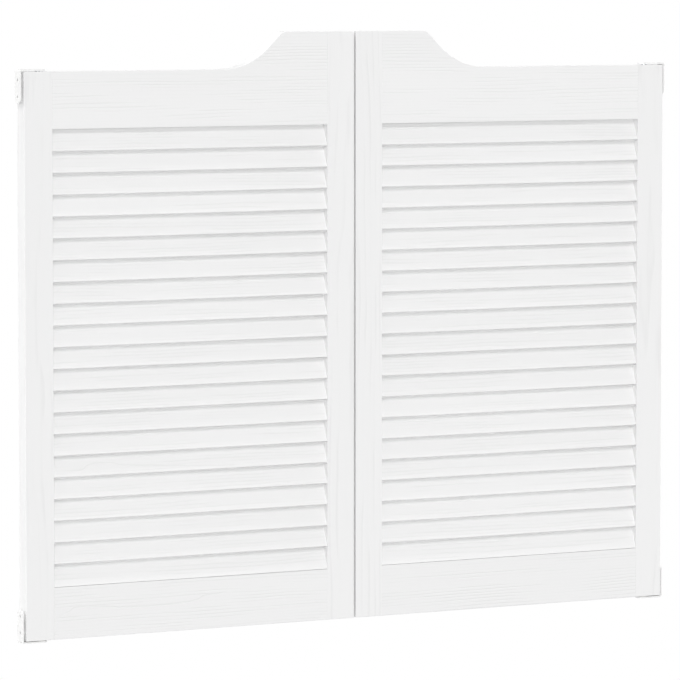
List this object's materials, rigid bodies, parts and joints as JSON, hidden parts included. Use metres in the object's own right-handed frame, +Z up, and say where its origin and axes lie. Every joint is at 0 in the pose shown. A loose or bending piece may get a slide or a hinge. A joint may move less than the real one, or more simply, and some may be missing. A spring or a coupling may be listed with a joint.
{
  "type": "cafe swinging doors",
  "caption": "Pair of louvred double-action cafe doors with raised centre crests, tenoned frames and slatted panels, on slim pivot brackets for the jambs.",
  "frame": {"origin": "midway between the closed leaves, at mid-thickness, level with the underside of the bottom brackets", "axes": "+X to the right along the closed pair as seen from the front, +Y away from the front, +Z up"},
  "size_m": [1, 0.021, 0.803],
  "materials": {
    "painted_pine": "white satin paint over brushed pine grain",
    "white_steel": "white satin powder coat",
    "zinc_steel": "bright zinc plated",
    "nylon": "natural nylon"
  },
  "bodies": {
    "jamb_hardware": {"top_brackets": "white_steel", "bottom_brackets": "white_steel", "pivot_pins": "zinc_steel", "thrust_washers": "nylon"},
    "left_leaf": {"left_hinge_stile": "painted_pine", "left_meeting_stile": "painted_pine", "left_top_rail": "painted_pine", "left_bottom_rail": "painted_pine", "left_slat_01": "painted_pine", "left_slat_02": "painted_pine", "left_slat_03": "painted_pine", "left_slat_04": "painted_pine", "left_slat_05": "painted_pine", "left_slat_06": "painted_pine", "left_slat_07": "painted_pine", "left_slat_08": "painted_pine", "left_slat_09": "painted_pine", "left_slat_10": "painted_pine", "left_slat_11": "painted_pine", "left_slat_12": "painted_pine", "left_slat_13": "painted_pine", "left_slat_14": "painted_pine", "left_slat_15": "painted_pine", "left_slat_16": "painted_pine", "left_slat_17": "painted_pine", "left_slat_18": "painted_pine", "left_slat_19": "painted_pine", "left_slat_20": "painted_pine", "left_slat_21": "painted_pine", "left_pivot_sockets": "zinc_steel", "left_socket_screws": "zinc_steel"},
    "right_leaf": {"right_hinge_stile": "painted_pine", "right_meeting_stile": "painted_pine", "right_top_rail": "painted_pine", "right_bottom_rail": "painted_pine", "right_slat_01": "painted_pine", "right_slat_02": "painted_pine", "right_slat_03": "painted_pine", "right_slat_04": "painted_pine", "right_slat_05": "painted_pine", "right_slat_06": "painted_pine", "right_slat_07": "painted_pine", "right_slat_08": "painted_pine", "right_slat_09": "painted_pine", "right_slat_10": "painted_pine", "right_slat_11": "painted_pine", "right_slat_12": "painted_pine", "right_slat_13": "painted_pine", "right_slat_14": "painted_pine", "right_slat_15": "painted_pine", "right_slat_16": "painted_pine", "right_slat_17": "painted_pine", "right_slat_18": "painted_pine", "right_slat_19": "painted_pine", "right_slat_20": "painted_pine", "right_slat_21": "painted_pine", "right_pivot_sockets": "zinc_steel", "right_socket_screws": "zinc_steel"}
  },
  "joints": [
    {"name": "left_swing", "type": "hinge", "parent": "jamb_hardware", "child": "left_leaf", "pos_m": [-0.4705, 0, 0], "axis": [0, 0, 1], "range_deg": [-90, 90], "stiffness_Nm_per_rad": 1.5},
    {"name": "right_swing", "type": "hinge", "parent": "jamb_hardware", "child": "right_leaf", "pos_m": [0.4705, 0, 0], "axis": [0, 0, -1], "range_deg": [-90, 90], "stiffness_Nm_per_rad": 1.5}
  ]
}
